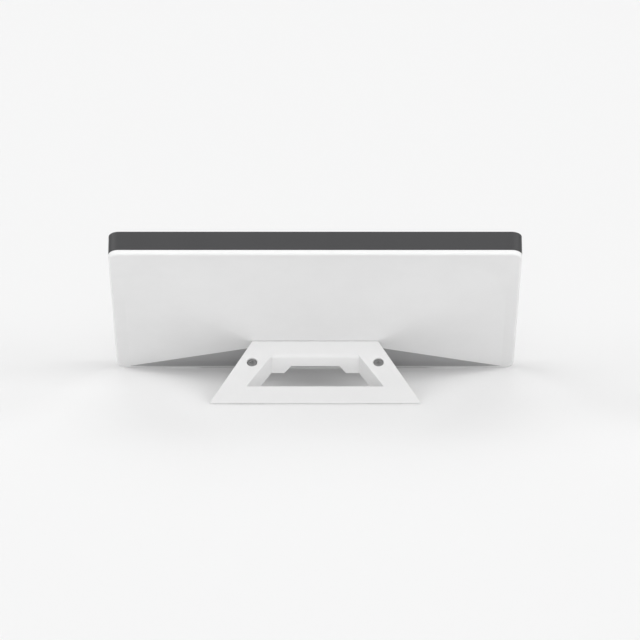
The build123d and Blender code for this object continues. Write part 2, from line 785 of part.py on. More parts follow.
with BuildPart() as stand_cavity:
    extrude(stand_plan(stand_wall, 0), amount=80)
    extrude(side_profile(cavity_profile, -200), amount=400, mode=Mode.INTERSECT)
    with BuildSketch(Plane.XY):
        with Locations((0, edge_y)):
            Rectangle(2 * centre_block, 2 * (opening_front + 2))
    extrude(amount=80, mode=Mode.SUBTRACT)

outer_profile = [
    (edge_y, edge_z),
    (back_y, stand_gap + stand_edge),
    (back_y, stand_gap),
    (meet_y, stand_gap),
    front_low,
]
with BuildPart() as stand_frame:
    extrude(stand_plan(0, 0), amount=80)
    extrude(side_profile(outer_profile, -200), amount=400, mode=Mode.INTERSECT)
    extrude(notch_outline(0), amount=opening_front + 24, mode=Mode.SUBTRACT)
    rear_edge = stand_frame.edges().filter_by(Axis.X).filter_by(
        lambda edge: abs(edge.center().Y - edge_y - opening_front) < 0.01
        and abs(edge.center().Z - top_z(edge_y + opening_front)) < 0.01
    )
    fillet(rear_edge, opening_fillet)
    add(stand_cavity.part, mode=Mode.SUBTRACT)
    for side in (-1, 1):
        start, length = mirrored(side, lug_centre - arm_half_slot, 2 * arm_half_slot)
        extrude(side_profile(arm_channel, start), amount=length, mode=Mode.SUBTRACT)
    with BuildSketch(STAND):
        with Locations(*stand_screw_places):
            Circle(screw_recess_radius)
    extrude(amount=-screw_recess_depth, mode=Mode.SUBTRACT)
    with BuildSketch(STAND):
        with Locations(*stand_screw_places):
            Circle(shank_radius + 0.2)
    extrude(amount=-stand_skin - 0.5, mode=Mode.SUBTRACT)
stand_frame.part.label = "stand_frame"
export_step(stand_frame.part, "parts/stand_frame.step")

cover_lift = cover_thickness / cos_s
cover_front = front_low[0] + stand_wall / relief_z - 0.6
cover_back = edge_y + opening_back + stand_wall + 1.6
band_profile = [
    (cover_front, low_z(cover_front)),
    (meet_y, stand_gap),
    (cover_back, stand_gap),
    (cover_back, stand_gap + cover_thickness),
    (meet_y + 1.0, stand_gap + cover_thickness),
    (cover_front, low_z(cover_front) + cover_lift),
]
with BuildPart() as stand_cover:
    extrude(stand_plan(stand_wall, 0.2), amount=80)
    extrude(side_profile(band_profile, -200), amount=400, mode=Mode.INTERSECT)
    add(stand_cavity.part, mode=Mode.INTERSECT)
    for side in (-1, 1):
        start, length = mirrored(side, lug_centre - arm_half_slot, 2 * arm_half_slot)
        extrude(side_profile(arm_channel, start), amount=length, mode=Mode.SUBTRACT)
stand_cover.part.label = "stand_cover"
export_step(stand_cover.part, "parts/stand_cover.step")

# ---------------------------------------------------------------- hinge leaves on the stand
leaf_inner = centre_block + 1.2
leaf_outline = [
    (leaf_inner, 4.4),
    (lug_centre + 11.1, 4.4),
    (stand_screw_offset + 7.7, stand_screw_reach + 4.4),
    (stand_screw_offset - 4.5, stand_screw_reach + 4.4),
    (lug_centre + 3.1, 12.8),
    (leaf_inner, 12.0),
]
arm_outline = [
    edge_point(-3.4, -axis_depth - seam),
    edge_point(-7.9, -axis_depth - seam),
    edge_point(-9.6, -0.5),
    stand_point(4.0, 9.2),
    stand_point(11.5, 7.0),
    stand_point(11.5, stand_skin),
    stand_point(1.6, stand_skin + 0.4),
]
for side, label in ((1, "left"), (-1, "right")):
    with BuildPart() as hinge_leaf:
        with BuildSketch(STAND.offset(-stand_skin)):
            Polygon(*[(side * x, reach) for x, reach in leaf_outline])
            with Locations((side * stand_screw_offset, stand_screw_reach)):
                Circle(shank_radius + 0.05, mode=Mode.SUBTRACT)
        extrude(amount=-leaf_thickness)
        start, length = mirrored(side, lug_centre - lug_thickness / 2, lug_thickness)
        extrude(side_profile(arm_outline, start), amount=length)
        extrude(side_disc(axis_centre, eye_radius - 0.1, start), amount=length)
        bore = side_disc(axis_centre, pin_radius + running_gap, start)
        extrude(bore, amount=length, mode=Mode.SUBTRACT)
    hinge_leaf.part.label = "hinge_leaf_" + label
    export_step(hinge_leaf.part, "parts/hinge_leaf_" + label + ".step")

# ---------------------------------------------------------------- fasteners
stand_screw_sink = 0.5
with BuildPart() as stand_screws:
    with BuildSketch(STAND.offset(-screw_recess_depth)):
        with Locations(*stand_screw_places):
            Circle(screw_recess_radius - 0.45)
    extrude(amount=screw_recess_depth - stand_screw_sink)
    chamfer(stand_screws.edges().group_by(Axis(STAND.origin, STAND.z_dir))[-1], 0.35)
    with BuildSketch(STAND.offset(-stand_screw_sink)):
        with Locations(*stand_screw_places):
            RegularPolygon(1.5, 6)
    extrude(amount=-0.9, mode=Mode.SUBTRACT)
    with BuildSketch(STAND.offset(-screw_recess_depth)):
        with Locations(*stand_screw_places):
            Circle(shank_radius)
    extrude(amount=-6.0)
stand_screws.part.label = "stand_screws"
export_step(stand_screws.part, "parts/stand_screws.step")


def screw_group(label, places, seat, shank_end, sizes):
    """Screws along the head's w axis: sizes are head radius, shank radius and head height."""
    head_radius, shank, thickness = sizes
    with BuildPart() as group:
        extrude(discs(places, head_radius, seat - thickness), amount=thickness)
        extrude(discs(places, shank, seat), amount=shank_end - seat)
    group.part.label = label
    export_step(group.part, "parts/" + label + ".step")


m3_shank = screw_radius - screw_slack
m3_pan = (2.7, m3_shank, 1.4)
m3_low = (2.4, m3_shank, 1.6)
m25_pan = (2.4, board_hole - screw_slack, 1.3)
screw_group("chassis_screws", boss_places, chassis_back, shelf_bottom, m3_pan)
screw_group("board_screws", standoff_places, board_back, chassis_back - 1.0, m25_pan)
screw_group("bracket_screws", bracket_screws, chassis_back - bracket_foot, chassis_front, m3_low)

with BuildPart() as panel_screw_set:
    for x, v in panel_screws:
        seat = -rim_depth - underside_depth(v) + 2.2
        extrude(discs([(x, v)], panel_post_radius - 0.3, seat - 1.6), amount=1.6)
        extrude(discs([(x, v)], m3_shank, seat), amount=8.5)
panel_screw_set.part.label = "panel_screws"
export_step(panel_screw_set.part, "parts/panel_screws.step")

with BuildPart() as io_screws:
    extrude(discs(io_boss_places, 2.0, io_back + pcb_thickness), amount=1.2)
    extrude(discs(io_boss_places, io_hole - screw_slack, io_back - 3.5), amount=3.5 + pcb_thickness)
io_screws.part.label = "io_board_screws"
export_step(io_screws.part, "parts/io_board_screws.step")

# ---------------------------------------------------------------- rubber feet
foot_outline = [
    (head_point(0, foot_back)[0], 0.0),
    head_point(0, foot_back),
    head_point(0, foot_front),
    (head_point(0, foot_front)[0], 0.0),
]
for side, label in ((1, "left"), (-1, "right")):
    with BuildPart() as head_foot:
        start, length = mirrored(side, foot_start, foot_length)
        extrude(side_profile(foot_outline, start), amount=length)
    head_foot.part.label = "head_foot_" + label
    export_step(head_foot.part, "parts/head_foot_" + label + ".step")

pad_y = back_y - pad_from_edge
for side, label in ((1, "left"), (-1, "right")):
    with BuildPart() as stand_pad:
        with BuildSketch(Plane.XY):
            with Locations((side * pad_offset, pad_y)):
                SlotOverall(pad_length, pad_width)
        extrude(amount=stand_gap)
    stand_pad.part.label = "stand_pad_" + label
    export_step(stand_pad.part, "parts/stand_pad_" + label + ".step")
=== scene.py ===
# %% [markdown]
# # A point-of-sale touchscreen terminal
#
# The terminal is a wide display head that leans back on its bottom edge, held up
# by a ring-shaped stand hinged to the middle of its back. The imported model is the
# fixed frame: it says where every piece is. This lesson gives each piece its real
# surface and finish, and lights it on a plain pale table.

import json
from math import cos, pi, radians, sin

import bmesh
import bpy
import numpy as np
from mathutils import Matrix, Vector


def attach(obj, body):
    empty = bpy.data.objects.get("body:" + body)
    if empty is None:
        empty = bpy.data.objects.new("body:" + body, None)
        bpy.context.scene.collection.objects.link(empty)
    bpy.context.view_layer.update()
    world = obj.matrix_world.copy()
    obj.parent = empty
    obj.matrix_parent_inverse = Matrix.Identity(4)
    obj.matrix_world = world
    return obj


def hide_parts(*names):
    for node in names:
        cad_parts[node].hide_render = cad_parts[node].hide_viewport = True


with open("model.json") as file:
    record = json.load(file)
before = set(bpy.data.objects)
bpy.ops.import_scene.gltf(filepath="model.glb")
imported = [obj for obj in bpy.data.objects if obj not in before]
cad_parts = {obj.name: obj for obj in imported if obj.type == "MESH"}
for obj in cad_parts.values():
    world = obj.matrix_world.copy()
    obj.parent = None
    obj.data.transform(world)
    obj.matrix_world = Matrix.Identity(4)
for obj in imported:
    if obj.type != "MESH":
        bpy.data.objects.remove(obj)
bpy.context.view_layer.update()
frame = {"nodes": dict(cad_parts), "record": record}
nodes = frame["nodes"]
scene = bpy.context.scene
mm = 0.001
print("nodes:", len(nodes))

# %% [markdown]
# The head leans back by 50 degrees, so its shapes are much easier to write in a
# frame of its own: `v` runs up the screen from the bottom edge, and `w` comes out
# of the screen from the parting line between the casing and the shell. Its origin
# could be typed in. Reading it off the shell and the casing keeps it right if the
# model changes.

# %% The head's own frame
lean = radians(50)
up_screen = np.array([0.0, sin(lean), cos(lean)])
out_of_screen = np.array([0.0, -cos(lean), sin(lean)])


def node_points(name):
    """All vertices of a CAD node as an array of (x, y, z) in metres."""
    mesh = nodes[name].data
    points = np.empty(len(mesh.vertices) * 3)
    mesh.vertices.foreach_get("co", points)
    return points.reshape(-1, 3)


lowest_v = (node_points("rear_shell") @ up_screen).min()
parting_w = (node_points("mid_frame") @ out_of_screen).min()
head_origin = lowest_v * up_screen + parting_w * out_of_screen


def head_size(name):
    """Lowest and highest (x, v, w) of a node in the head frame, in millimetres."""
    points = node_points(name) - head_origin
    seen = np.stack([points[:, 0], points @ up_screen, points @ out_of_screen]) / mm
    return seen.min(axis=1), seen.max(axis=1)


def head_points(x, v, w):
    """Row-frame metres for arrays in millimetres: origin + x + v up the screen + w out."""
    x, v, w = np.broadcast_arrays(x, v, w)
    place = head_origin + (v[..., None] * up_screen + w[..., None] * out_of_screen) * mm
    place[..., 0] += x * mm
    return place


shell_low, _ = head_size("rear_shell")
casing_low, casing_high = head_size("mid_frame")
panel_low, panel_high = head_size("port_panel")
head_width = casing_high[0] - casing_low[0]
head_height = casing_high[1] - casing_low[1]
rim_back = -4.0
print("head:", np.round([head_width, head_height, casing_high[2], shell_low[2]], 2))

# %% [markdown]
# The camera stands four metres behind the object with a long lens, so that edges
# stay nearly parallel, as in a catalogue picture. A tracking constraint could aim
# it, but three axes given one by one say exactly how it stands: right, up and back.

# %% Camera
elevation = radians(13)
camera_distance = 4.217
focal_length = 275.0
back_axis = Vector((0, cos(elevation), sin(elevation)))
up_axis = Vector((0, -sin(elevation), cos(elevation)))
right_axis = up_axis.cross(back_axis)
camera_data = bpy.data.cameras.new("camera")
camera_data.lens = focal_length
camera_data.clip_end = 50
camera = bpy.data.objects.new("camera", camera_data)
scene.collection.objects.link(camera)
rear_edge = Vector(head_points(0.0, 0.0, rim_back))
lift, sideways = 0.0417, 0.004
place = rear_edge + camera_distance * back_axis + lift * up_axis + sideways * right_axis
turn = Matrix((right_axis, up_axis, back_axis)).transposed().to_4x4()
camera.matrix_world = Matrix.Translation(place) @ turn
scene.camera = camera
print("camera at", tuple(round(c, 3) for c in place))

# %% [markdown]
# The light is soft and comes from all sides, most of it from the camera's side.
# Large softboxes could be built as glowing panels. A sun lamp with a wide angle
# casts the same soft-edged shadow and gives every piece the same light, so eight of
# them stand for the softboxes. Each has a turn (0 is behind the object, 90 is its
# left in this view), a rise above the table and a spread, all in degrees, and an
# energy. A faint white world keeps the glass from mirroring pure black.

# %% Light
world = bpy.data.worlds.new("studio")
scene.world = world
world.use_nodes = True
background = world.node_tree.nodes["Background"]
background.inputs["Color"].default_value = (1, 1, 1, 1)
background.inputs["Strength"].default_value = 0.15
softboxes = {
    "low behind": (0, 15, 30, 0.23),
    "behind": (0, 27, 30, 0.6),
    "behind left": (50, 27, 30, 0.88),
    "behind right": (-50, 27, 30, 1.22),
    "left": (100, 35, 40, 0.74),
    "right": (-100, 35, 40, 0.44),
    "overhead": (0, 85, 60, 0.36),
    "front": (180, 45, 50, 0.96),
}
for name, (turn, rise, spread, energy) in softboxes.items():
    turn, rise = radians(turn), radians(rise)
    data = bpy.data.lights.new(name, "SUN")
    data.energy = energy
    data.angle = radians(spread)
    towards = Vector((cos(rise) * sin(turn), cos(rise) * cos(turn), sin(rise)))
    softbox = bpy.data.objects.new(name, data)
    scene.collection.objects.link(softbox)
    softbox.matrix_world = towards.to_track_quat("Z", "Y").to_matrix().to_4x4()
scene.view_settings.view_transform = "Standard"
scene.view_settings.look = "None"
print("softboxes:", len(softboxes))

# %% [markdown]
# The terminal stands on a table that runs far out of the picture on every side. A
# curved backdrop would do as well, but one large flat face has no edge to hide and
# no bend to light. It isn't part of the object.

# %% Table
floor_half = 12.0
floor_mesh = bpy.data.meshes.new("floor")
corners = np.array([[-1, -1, 0], [1, -1, 0], [1, 1, 0], [-1, 1, 0]], float) * floor_half
floor_mesh.from_pydata(corners.tolist(), [], [(0, 1, 2, 3)])
floor = bpy.data.objects.new("floor", floor_mesh)
scene.collection.objects.link(floor)
print("table:", 2 * floor_half, "m square")

# %% [markdown]
# Moulded plastic is never one flat colour: the spark-eroded mould leaves a fine
# grain, and the gloss changes a little from place to place. An image could hold
# that, but two noise textures on Object coordinates do it at true size, all round
# and with no seams.

# %% Plastic materials
def node_link(tree, kind, **settings):
    """Adds a shader node of a kind and sets its attributes or unlinked inputs by name."""
    node = tree.nodes.new(kind)
    for key, value in settings.items():
        if hasattr(node, key):
            setattr(node, key, value)
        else:
            node.inputs[key.replace("_", " ")].default_value = value
    return node


def new_material(name, colour, roughness, metallic=0.0, specular=0.5):
    """Principled material with constants on its own sockets."""
    material = bpy.data.materials.new(name)
    material.use_nodes = True
    shader = material.node_tree.nodes["Principled BSDF"]
    shader.inputs["Base Color"].default_value = (*colour, 1)
    shader.inputs["Roughness"].default_value = roughness
    shader.inputs["Metallic"].default_value = metallic
    shader.inputs["Specular IOR Level"].default_value = specular
    return material


def vary(material, colour_a, colour_b, patch, rough_a, rough_b, stretch=(1, 1, 1)):
    """Colour and roughness drift between two values over noise patches of a size in metres."""
    tree = material.node_tree
    shader = tree.nodes["Principled BSDF"]
    place = tree.nodes.new("ShaderNodeTexCoord")
    scale = node_link(tree, "ShaderNodeMapping")
    scale.inputs["Scale"].default_value = stretch
    noise = node_link(tree, "ShaderNodeTexNoise", Scale=1 / patch, Detail=4.0, Roughness=0.6)
    ramp = tree.nodes.new("ShaderNodeValToRGB")
    ramp.color_ramp.elements[0].position = 0.3
    ramp.color_ramp.elements[1].position = 0.7
    ramp.color_ramp.elements[0].color = (*colour_a, 1)
    ramp.color_ramp.elements[1].color = (*colour_b, 1)
    gloss = node_link(tree, "ShaderNodeMapRange", To_Min=rough_a, To_Max=rough_b)
    tree.links.new(place.outputs["Object"], scale.inputs["Vector"])
    tree.links.new(scale.outputs["Vector"], noise.inputs["Vector"])
    tree.links.new(noise.outputs["Fac"], ramp.inputs["Fac"])
    tree.links.new(ramp.outputs["Color"], shader.inputs["Base Color"])
    tree.links.new(noise.outputs["Fac"], gloss.inputs["Value"])
    tree.links.new(gloss.outputs["Result"], shader.inputs["Roughness"])
    return scale


def grain(material, size, height, stretch=(1, 1, 1)):
    """Bump of a fine noise whose grains are about size across and height deep, in metres."""
    tree = material.node_tree
    shader = tree.nodes["Principled BSDF"]
    place = tree.nodes.new("ShaderNodeTexCoord")
    scale = node_link(tree, "ShaderNodeMapping")
    scale.inputs["Scale"].default_value = stretch
    noise = node_link(tree, "ShaderNodeTexNoise", Scale=1 / size, Detail=2.0, Roughness=0.5)
    bump = node_link(tree, "ShaderNodeBump", Strength=1.0, Distance=height)
    tree.links.new(place.outputs["Object"], scale.inputs["Vector"])
    tree.links.new(scale.outputs["Vector"], noise.inputs["Vector"])
    tree.links.new(noise.outputs["Fac"], bump.inputs["Height"])
    tree.links.new(bump.outputs["Normal"], shader.inputs["Normal"])


def moulded(name, colour, roughness, grain_height):
    """Spark-textured plastic: drifting colour, half-millimetre grain, soft gloss."""
    material = new_material(name, colour, roughness)
    darker = tuple(0.975 * c for c in colour)
    vary(material, darker, colour, 0.03, roughness - 0.05, roughness + 0.06)
    grain(material, 0.0006, grain_height)
    return material


white_plastic = moulded("white moulded plastic", (0.82, 0.82, 0.82), 0.5, 0.000012)
# The stand is the same white plastic made darker: painted shade for the shade that falls on it
# under the head.
stand_white_painted_shade = moulded("stand white in painted shade", (0.7, 0.7, 0.7), 0.5, 0.000012)
# The grey is painted shade: a darker copy of the white for the deep shade on the slopes that face
# the floor.
painted_shade_grey = moulded("underside grey in painted shade", (0.42, 0.42, 0.425), 0.6, 0.000015)
dark_plastic = moulded("dark moulded plastic", (0.048, 0.048, 0.05), 0.5, 0.00002)
black_plastic = moulded("black plastic", (0.02, 0.02, 0.021), 0.5, 0.00002)
rubber = moulded("foot rubber", (0.025, 0.025, 0.025), 0.8, 0.00004)
print("white:", white_plastic.name, "/", stand_white_painted_shade.name, "/", painted_shade_grey.name)

# %% [markdown]
# A catalogue table is often a sheet of milky plastic with a lamp under it, which
# keeps the shadows pale. More lamps from above would wash out the shape of the
# head too. A little emission in the table's own material lifts the shadows alone.

# %% Table material
lit_table = new_material("lit table", (0.73, 0.73, 0.73), 1.0, specular=0.0)
table_glow = lit_table.node_tree.nodes["Principled BSDF"]
table_glow.inputs["Emission Color"].default_value = (1, 1, 1, 1)
table_glow.inputs["Emission Strength"].default_value = 0.12
floor.data.materials.append(lit_table)
print("table finish:", lit_table.name)

# %% [markdown]
# Metal parts differ in how they were worked: rolled and brushed steel carries long
# fine scratches, so its noise is stretched along one axis, and zinc-plated screws
# are mottled.

# %% Metal materials
def metal(name, colour, roughness, stretch, patch, depth):
    """Worked metal: stretched noise for the colour, the gloss and the scratches."""
    material = new_material(name, colour, roughness, metallic=1.0)
    darker = tuple(0.8 * c for c in colour)
    vary(material, darker, colour, patch, roughness - 0.08, roughness + 0.1, stretch)
    grain(material, patch / 4, depth, stretch)
    return material


steel = metal("brushed steel", (0.46, 0.47, 0.48), 0.36, (0.05, 1, 1), 0.002, 0.00001)
aluminium = metal("chassis aluminium", (0.62, 0.63, 0.64), 0.4, (0.04, 1, 1), 0.003, 0.00001)
screw_zinc = metal("screw zinc", (0.3, 0.3, 0.3), 0.45, (1, 1, 1), 0.0016, 0.00005)
brass = metal("turned brass", (0.62, 0.45, 0.2), 0.32, (0.2, 1, 1), 0.001, 0.000006)
tin = metal("tinned steel", (0.6, 0.6, 0.58), 0.3, (1, 1, 1), 0.004, 0.000008)
metals = (steel, aluminium, screw_zinc, brass, tin)
print("metals:", ", ".join(one.name for one in metals))

# %% [markdown]
# Behind the cover glass a black frame is printed, and inside it the sleeping panel
# is a shade greyer. A second, smaller face could show the panel, but it would have
# to float on the glass. Instead the glass's own material measures how far a point
# is from the middle of the panel, across and up the screen, and picks one of two
# colours.

# %% Boards, foam and glass
board_green = moulded("solder mask", (0.012, 0.1, 0.04), 0.35, 0.00001)
foam = moulded("gasket foam", (0.03, 0.03, 0.03), 0.9, 0.0001)
black_glass = new_material("black glass", (0.008, 0.008, 0.01), 0.06)
vary(black_glass, (0.008, 0.008, 0.01), (0.01, 0.011, 0.013), 0.05, 0.04, 0.08)


def printed_glass(name, low, high):
    """Glass with a printed border round the picture area from low to high (x, v), in metres.

    A point is in the picture area where its distance from the middle is less than half
    the size, both across and up the screen.
    """
    material = new_material(name, (0.002, 0.002, 0.002), 0.07)
    tree = material.node_tree
    place = tree.nodes.new("ShaderNodeTexCoord")
    inside = None
    ranges = (((1, 0, 0), low[0], high[0]), (up_screen, low[1], high[1]))
    for direction, start, end in ranges:
        along = node_link(tree, "ShaderNodeVectorMath", operation="DOT_PRODUCT")
        along.inputs[1].default_value = direction
        centred = node_link(tree, "ShaderNodeMath", operation="SUBTRACT")
        centred.inputs[1].default_value = (start + end) / 2
        distance = node_link(tree, "ShaderNodeMath", operation="ABSOLUTE")
        within = node_link(tree, "ShaderNodeMath", operation="LESS_THAN")
        within.inputs[1].default_value = (end - start) / 2
        tree.links.new(place.outputs["Object"], along.inputs[0])
        tree.links.new(along.outputs["Value"], centred.inputs[0])
        tree.links.new(centred.outputs["Value"], distance.inputs[0])
        tree.links.new(distance.outputs["Value"], within.inputs[0])
        if inside:
            both = node_link(tree, "ShaderNodeMath", operation="MULTIPLY")
            tree.links.new(inside, both.inputs[0])
            tree.links.new(within.outputs["Value"], both.inputs[1])
            within = both
        inside = within.outputs["Value"]
    shade = tree.nodes.new("ShaderNodeValToRGB")
    shade.color_ramp.elements[0].color = (0.002, 0.002, 0.002, 1)
    shade.color_ramp.elements[1].color = (0.011, 0.012, 0.014, 1)
    tree.links.new(inside, shade.inputs["Fac"])
    tree.links.new(shade.outputs["Color"], tree.nodes["Principled BSDF"].inputs["Base Color"])
    return material


cell_low, cell_high = head_size("lcd_cell")
origin_v = head_origin @ up_screen
picture_edge = 4.0
picture_low = ((cell_low[0] + picture_edge) * mm, origin_v + (cell_low[1] + picture_edge) * mm)
picture_high = ((cell_high[0] - picture_edge) * mm, origin_v + (cell_high[1] - picture_edge) * mm)
screen_glass = printed_glass("screen glass", picture_low, picture_high)
print("picture area:", np.round((np.array(picture_high) - picture_low) / mm, 1))

# %% [markdown]
# The rear shell is one moulding: a rim with rounded edges and a broad back that
# swells towards the neck. It could be lofted or sculpted, but each of its faces is
# a simple slope, so its depth is written as a formula and the surface is a grid.
# The grid's columns fan out along the creases, because a crease that crosses its
# cells would look like a staircase.

# %% The shape of the back, in millimetres
corner_radius = 9.0
rim_fillet = 2.5
wall = 2.2
neck_depth = rim_back - shell_low[2]
neck_half_width = 56.0
neck_bottom, neck_top = 70.4, 84.7
bulge_half_width = head_width / 2 - 11.0
bulge_bottom = 4.8
bulge_top = head_height - 5.4
flare = 1.6
print("neck depth:", round(neck_depth, 2))


def back_depth(u, v):
    """Depth behind the rim at (u, v): the least of four slopes, never below zero.

    side = neck depth * (bulge half-width - |u|) / (bulge half-width - neck half-width)
    top = neck depth * ((bulge top - v) / (bulge top - neck top)) ** flare
    underside = neck depth * (v - bulge bottom) / (neck bottom - bulge bottom)
    neck = the full neck depth
    Side and top meet in a fold that gets softer away from the neck.
    """
    side = neck_depth * (bulge_half_width - abs(u)) / (bulge_half_width - neck_half_width)
    top = neck_depth * np.clip((bulge_top - v) / (bulge_top - neck_top), 0, None) ** flare
    underside = neck_depth * (v - bulge_bottom) / (neck_bottom - bulge_bottom)
    fold = np.minimum(side, top)
    softness = 1.1 + 0.5 * np.clip(neck_depth - fold, 0, None)
    closeness = np.clip(1 - abs(side - top) / softness, 0, None)
    fold = fold - softness * closeness**2 / 4
    return np.clip(np.minimum(np.minimum(fold, underside), neck_depth), 0, None)


# %% [markdown]
# A grid follows a shape best when its lines lie on the shape's creases. The rows
# stop at every level where a slope starts or ends, and the columns run along the
# fold between side and underside. Close to each crease the lines are bunched, so
# that smooth shading turns the corner within half a millimetre.

# %% The grid of the back
def span(start, end, count, edge=0.4):
    """count stations from start to end, the first and last gaps no wider than edge."""
    start, end = np.broadcast_arrays(np.asarray(start, float), np.asarray(end, float))
    gap = np.minimum(edge, (end - start) / (count - 1))
    middle = np.linspace(start + gap, end - gap, count - 2, axis=-1)
    return np.concatenate([start[..., None], middle, end[..., None]], axis=-1)


def chain(stops, counts):
    """Stations through all the stops, each shared stop counted once."""
    parts = [span(a, b, n) for a, b, n in zip(stops[:-1], stops[1:], counts)]
    return np.concatenate([parts[0]] + [part[..., 1:] for part in parts[1:]], axis=-1)


fit_gap = 0.15
hole_u = panel_high[0] + fit_gap
hole_low, hole_high = panel_low[1] - fit_gap, panel_high[1] + fit_gap
print("port panel hole:", np.round([2 * hole_u, hole_high - hole_low], 2))


def fold_line(v):
    """Half-width of the crease at v: where the side slope meets the underside or the top."""
    low = (v - bulge_bottom) / (neck_bottom - bulge_bottom)
    high = np.clip((bulge_top - v) / (bulge_top - neck_top), 0, None) ** flare
    smallest_share = 0.03
    share = np.clip(np.minimum(low, high), smallest_share, 1)
    return bulge_half_width - share * (bulge_half_width - neck_half_width)


def rounded(u, v, inset):
    """Squeezes a square-cornered grid into round corners.

    In each corner square, with p and q from 0 to 1 towards the corner, p becomes
    p * sqrt(1 - q*q/2) and q becomes q * sqrt(1 - p*p/2), which fills a quarter disc.
    """
    radius = corner_radius - inset
    centre_u, centre_v = head_width / 2 - corner_radius, head_height / 2 - corner_radius
    across, along = u, v - head_height / 2
    p = np.clip((abs(across) - centre_u) / radius, 0, 1)
    q = np.clip((abs(along) - centre_v) / radius, 0, 1)
    p_round, q_round = p * np.sqrt(1 - q * q / 2), q * np.sqrt(1 - p * p / 2)
    new_u = across + np.sign(across) * radius * (p_round - p)
    new_v = v + np.sign(along) * radius * (q_round - q)
    straight = np.stack([np.sign(across) * (p >= 1), np.sign(along) * (q >= 1)], axis=-1)
    bent = np.stack([np.sign(across) * p_round, np.sign(along) * q_round], axis=-1)
    normal = np.where(((p > 0) & (q > 0))[..., None], bent, straight)
    return new_u, new_v, normal


def back_grid(inset, thickness):
    """(u, v, w) of the back's grid, thickness in from its outside, and its border normals."""
    margin = 0.4
    first = max(bulge_bottom, inset + margin)
    last = min(bulge_top, head_height - inset - margin)
    levels = [inset, first, hole_low, neck_bottom, hole_high, neck_top, last, head_height - inset]
    v = chain(levels, (3, 12, 30, 9, 4, 60, 4))
    fold, side = fold_line(v), np.full_like(v, bulge_half_width)
    edge, hole = np.full_like(v, head_width / 2 - inset), np.full_like(v, hole_u)
    u = chain((-edge, -side, -fold, -hole, hole, fold, side, edge), (8, 16, 34, 26, 34, 16, 8))
    u, v, normal = rounded(u, np.broadcast_to(v[:, None], u.shape), inset)
    return u, v, rim_back + thickness - back_depth(u, v), normal


# %% [markdown]
# A moulding has a thickness, so its mesh has an outside, an inside, and the rim and
# hole walls that join them. Solidify could give the thickness, but not a stepped
# lip. Patches that share their border points are merged into one closed mesh, and
# counting the edges that don't have two faces shows whether it really is closed.

# %% Patches and sealed meshes
def grid_quads(rows, columns, keep=None):
    """Corner numbers of the cells of a grid, row by row; keep is a mask over the cells."""
    corner = np.arange(rows * columns).reshape(rows, columns)
    quads = np.stack([corner[:-1, :-1], corner[:-1, 1:], corner[1:, 1:], corner[1:, :-1]], axis=-1)
    return quads.reshape(-1, 4) if keep is None else quads[keep]


def border(grid):
    """The closed loop of a grid's outermost points, as one row."""
    return np.concatenate([grid[0, :-1], grid[:-1, -1], grid[-1, :0:-1], grid[:0:-1, 0]])


def tube(loops):
    """A patch that joins closed loops of points, each to the next."""
    loops = np.concatenate([loops, loops[:, :1]], axis=1)
    return loops.reshape(-1, 3), grid_quads(*loops.shape[:2])


def show(name, mesh, body, material, smooth=35):
    """Links a finished mesh as a piece that rides on a body, smooth up to an angle in degrees."""
    mesh.polygons.foreach_set("use_smooth", np.ones(len(mesh.polygons), bool))
    mesh.set_sharp_from_angle(angle=radians(smooth))
    mesh.materials.clear()
    mesh.materials.append(material)
    piece = bpy.data.objects.new(name, mesh)
    scene.collection.objects.link(piece)
    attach(piece, body)
    print(name, len(mesh.polygons), "faces")
    return piece


def sealed(name, patches, body, material, smooth=35):
    """One closed mesh from patches of (points, quads): doubles merged, faces turned outwards."""
    starts = np.cumsum([0] + [len(points) for points, _ in patches[:-1]])
    points = np.concatenate([points for points, _ in patches])
    quads = np.concatenate([quads + start for (_, quads), start in zip(patches, starts)])
    mesh = bpy.data.meshes.new(name)
    mesh.from_pydata(points, [], quads.tolist())
    shape = bmesh.new()
    shape.from_mesh(mesh)
    bmesh.ops.remove_doubles(shape, verts=shape.verts, dist=1e-6)
    bmesh.ops.recalc_face_normals(shape, faces=shape.faces)
    print("open edges:", sum(1 for edge in shape.edges if len(edge.link_faces) != 2))
    shape.to_mesh(mesh)
    shape.free()
    return show(name, mesh, body, material, smooth)


# %% [markdown]
# The rim of the shell is a quarter round that ends in a thin lip tucked inside the
# dark casing. A Bevel modifier would round it too, but the lip needs its own steps,
# so a profile of (inset, height) pairs is carried round the border of the back.

# %% Rear shell
outer_u, outer_v, outer_w, outer_normal = back_grid(rim_fillet, 0.0)
lip_thickness = 1.2
lip_inset = wall + fit_gap
inner_inset = lip_inset + lip_thickness
inner_u, inner_v, inner_w, _ = back_grid(inner_inset, wall)
cell_u = (outer_u[:-1, :-1] + outer_u[1:, 1:]) / 2
cell_v = (outer_v[:-1, :-1] + outer_v[1:, 1:]) / 2
solid = ~((abs(cell_u) < hole_u) & (cell_v > hole_low) & (cell_v < hole_high))
tiny = 1e-6
in_hole_u = abs(outer_u[len(outer_u) // 4]) <= hole_u + tiny
in_hole_v = (outer_v[:, 0] >= hole_low - tiny) & (outer_v[:, 0] <= hole_high + tiny)
outer = head_points(outer_u, outer_v, outer_w)
inner = head_points(inner_u, inner_v, inner_w)

